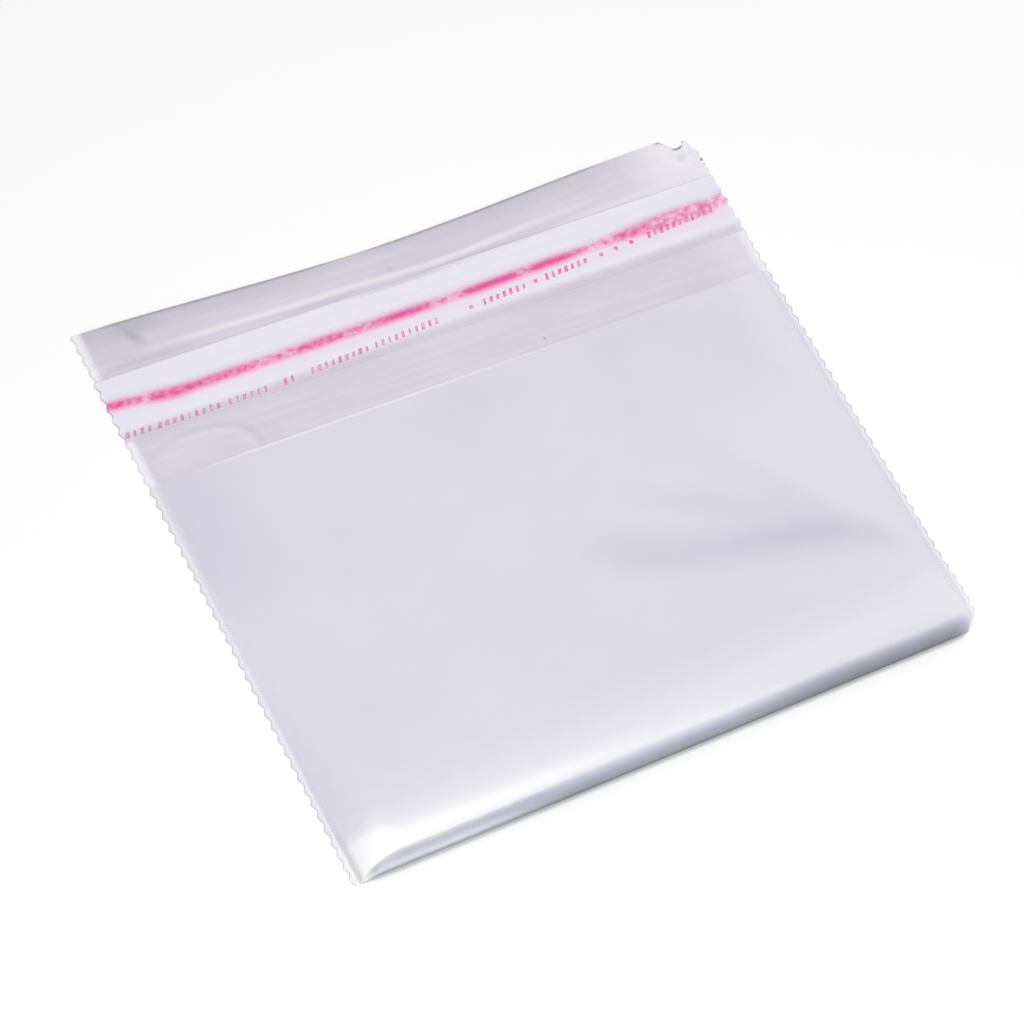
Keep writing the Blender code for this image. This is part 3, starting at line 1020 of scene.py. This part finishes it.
def markShape(board, size):
    bars = []
    for start, count in barGroups:
        place = (start * millimetre, 0, 0)
        sockets = {"Count": count, "Start Location": place, "Offset": vector(size["markPitch"], 0)}
        bars.append(board.add("GeometryNodeMeshLine", {"mode": "OFFSET"}, sockets))
    barPoints = board.add("GeometryNodeJoinGeometry", (), {"Geometry": bars})
    dots = []
    for start in dotPlaces:
        sockets = {"Count": 1, "Start Location": (start * millimetre, 0, 0)}
        dots.append(board.add("GeometryNodeMeshLine", {"mode": "OFFSET"}, sockets))
    dotPoints = board.add("GeometryNodeJoinGeometry", (), {"Geometry": dots})
    sockets = {"Size X": size["barWidth"], "Size Y": size["barHeight"], "Vertices X": 3, "Vertices Y": 5}
    bar = board.add("GeometryNodeMeshGrid", (), sockets)
    x, y = split(board.add("GeometryNodeInputPosition"))
    bar = move(bar, vector(x + y * size["barLean"], y))
    sockets = {"Vertices": grid["dotSides"], "Radius": size["dotRadius"]}
    dot = board.add("GeometryNodeMeshCircle", {"fill_type": "NGON"}, sockets)
    wide = chance(board, marks["widthSpread"], marks["inkSeed"])
    tall = chance(board, marks["heightSpread"], marks["inkSeed"] + 1)
    sockets = {"Points": barPoints, "Instance": bar, "Scale": vector(wide, tall, 1.0)}
    placed = board.add("GeometryNodeInstanceOnPoints", (), sockets)
    dotted = board.add("GeometryNodeInstanceOnPoints", (), {"Points": dotPoints, "Instance": dot})
    flat = board.add("GeometryNodeJoinGeometry", (), {"Geometry": [placed, dotted]})
    flat = flat.add("GeometryNodeRealizeInstances", (), {"Geometry": flat})
    flat = keep(flat, "fromRow", y)
    flat = keep(flat, "acrossBag", x)
    x, y = recall(board, "acrossBag"), recall(board, "fromRow")
    fromFold = follow(x / millimetre, rowDrift) * millimetre + y
    low = flapHeight(size, x, fromFold - size["pocketDepth"]) + size["inkLevel"]
    outX, outY = x - size["width"] / 2, fromFold + foldY
    return layer(flat, vector(outX, outY, low + size["inkLayer"]), vector(outX, outY, low))


def markMaterial():
    material, board = newMaterial("printedInk")
    place = board.add("ShaderNodeTexCoord", out="Object")
    mottle = noise(place, 700.0, 2.0, 0.6)
    colour = tint(smooth(mottle, -0.2, 0.25), marks["ink"], marks["inkPale"])
    fromMiddle = split(place)[0]  # the left half is printed paler
    alpha = mottled(mottle, 0.56, 0.30) * smooth(fromMiddle, -0.010, 0.015, 0.70, 1.0)
    roughness = smooth(mottle, -0.25, 0.25, 0.35, 0.5)
    finishMaterial(board, plastic(board, colour, alpha, roughness))
    return material


def makeMarks():
    piece = growPiece("printedMarks", {**bag, **marks}, markShape, markMaterial())


# The camera stands where the photographer's did
cameraView = {
    "aim": (-0.00757, -0.00425, 0.0),
    "distance": 0.7599,
    "heading": 40.24,  # degrees from +X
    "tilt": 58.94,  # degrees down
    "roll": 24.90,
    "focalPixels": 3474,
    "framePixels": 1024,
}


def makeCamera():
    view = cameraView
    data = bpy.data.cameras.new("camera")
    camera = bpy.data.objects.new("camera", data)
    bpy.context.scene.collection.objects.link(camera)
    data.sensor_width = 36
    data.lens = view["focalPixels"] / view["framePixels"] * data.sensor_width
    heading, tilt, roll = (math.radians(view[key]) for key in ("heading", "tilt", "roll"))
    turned = Matrix.Rotation(heading - math.pi / 2, 4, "Z") @ Matrix.Rotation(math.pi / 2 - tilt, 4, "X")
    turned = turned @ Matrix.Rotation(roll, 4, "Z")
    back = turned @ Vector((0, 0, view["distance"]))
    camera.matrix_world = Matrix.Translation(Vector(view["aim"]) + back) @ turned
    data.clip_start, data.clip_end = 0.05, 20
    bpy.context.scene.camera = camera


studio = {
    "floorSize": 6.0,
    "floorDrop": 0.0001,
    "floorColour": 0.93,
    "floorGlow": 0.08,
    "whiteFrom": 0.13,  # the floor turns plain white from here outwards
    "whiteAt": 0.34,
    "worldLevel": 0.45,
    "clearBounces": 24,  # the film lies in many layers
    "boxes": {
        # name: (place, aim, width, length, watts)
        "frontBox": ((-0.25, -0.75, 0.95), (0, 0, 0), 0.5, 0.5, 2.5),
        "edgeBox": ((0.02, -0.10, 0.72), (0.02, -0.10, 0), 0.54, 0.22, 2.6),
    },
}


def makeLamps():
    for name, (place, aim, width, length, watts) in studio["boxes"].items():
        data = bpy.data.lights.new(name, "AREA")
        data.shape, data.size, data.size_y, data.energy = "RECTANGLE", width, length, watts
        box = bpy.data.objects.new(name, data)
        bpy.context.scene.collection.objects.link(box)
        direction = Vector(aim) - Vector(place)
        box.rotation_euler = direction.to_track_quat("-Z", "Y").to_euler()
        box.location = place


def makeSky():
    # plain white where it is seen or reflected, dimmer as a light
    world = bpy.data.worlds.new("studio")
    bpy.context.scene.world = world
    world.use_nodes = True
    world.node_tree.nodes.clear()
    board = Wire(world.node_tree)
    rays = board.add("ShaderNodeLightPath")
    seen = rays.most(rays.also("Is Glossy Ray")).most(rays.also("Is Transmission Ray"))
    strength = seen * (1 - studio["worldLevel"]) + studio["worldLevel"]
    sky = board.add("ShaderNodeBackground", (), {"Color": (1, 1, 1, 1), "Strength": strength})
    board.add("ShaderNodeOutputWorld", (), {"Surface": sky})


def makeFloor():
    half, level = studio["floorSize"] / 2, -studio["floorDrop"]
    mesh = bpy.data.meshes.new("floor")
    corners = [(-half, -half, level), (half, -half, level), (half, half, level), (-half, half, level)]
    mesh.from_pydata(corners, [], [(0, 1, 2, 3)])
    floor = bpy.data.objects.new("floor", mesh)
    bpy.context.scene.collection.objects.link(floor)
    material, board = newMaterial("floorWhite")
    grey = studio["floorColour"]
    matt = board.add("ShaderNodeBsdfDiffuse", (), {"Color": (grey, grey, grey, 1)})
    rays = board.add("ShaderNodeLightPath")
    place = board.add("ShaderNodeTexCoord", out="Object")
    distance = place.add("ShaderNodeVectorMath", {"operation": "LENGTH"}, {0: place}, "Value")
    far = smooth(distance, studio["whiteFrom"], studio["whiteAt"])
    lamp = {"Color": (1, 1, 1, 1), "Strength": rays * studio["floorGlow"]}
    glow = board.add("ShaderNodeEmission", (), lamp)
    white = board.add("ShaderNodeEmission", (), {"Color": (1, 1, 1, 1), "Strength": 1.0})
    near = board.add("ShaderNodeAddShader", (), {0: matt, 1: glow})
    finishMaterial(board, mixed(far * rays, near, white))
    mesh.materials.append(material)


bpy.context.scene.cycles.transparent_max_bounces = studio["clearBounces"]
bpy.context.scene.view_settings.view_transform = "Standard"
makeCamera()
print("camera in place")
makeLamps()
makeSky()
makeFloor()
print("studio lit")
makeFilm()
print("film folded")
makeBeads()
print("welds beaded")
makeTapes()
print("tapes laid")
makeMarks()
print("liner printed")

bpy.context.view_layer.update()
